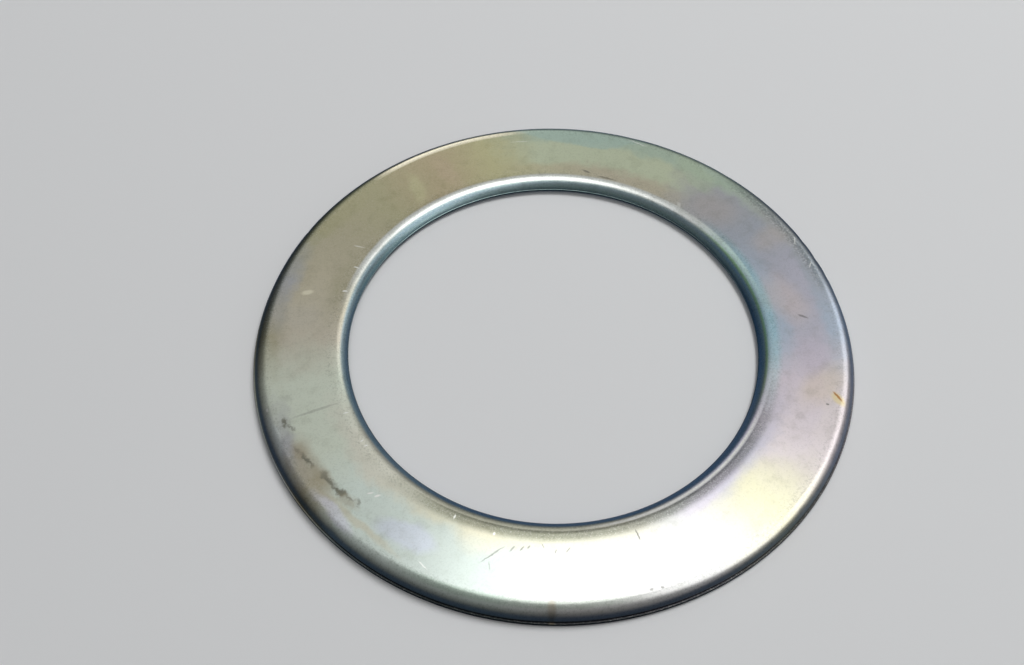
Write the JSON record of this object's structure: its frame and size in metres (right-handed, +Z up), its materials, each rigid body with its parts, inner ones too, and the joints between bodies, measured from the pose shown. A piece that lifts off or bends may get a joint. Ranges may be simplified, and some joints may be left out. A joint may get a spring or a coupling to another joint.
{
  "type": "pressed collar ring",
  "caption": "Flat collar ring pressed from plated sheet steel: a rolled-down bore lip and rounded rim on a narrow foot, to sit round a shaft as a cover or thrust collar.",
  "frame": {"origin": "on the bore axis, at the plane that the foot stands on", "axes": "+Z up along the bore axis, from the open underside towards the flat web; X and Y lie in the base plane and are arbitrary, since the ring is round"},
  "size_m": [0.2, 0.2, 0.0056],
  "materials": {
    "zinc_plate": "satin zinc plating with an iridescent yellow-green passivated film"
  },
  "bodies": {
    "root": {"pressed_ring": "zinc_plate"}
  },
  "joints": []
}
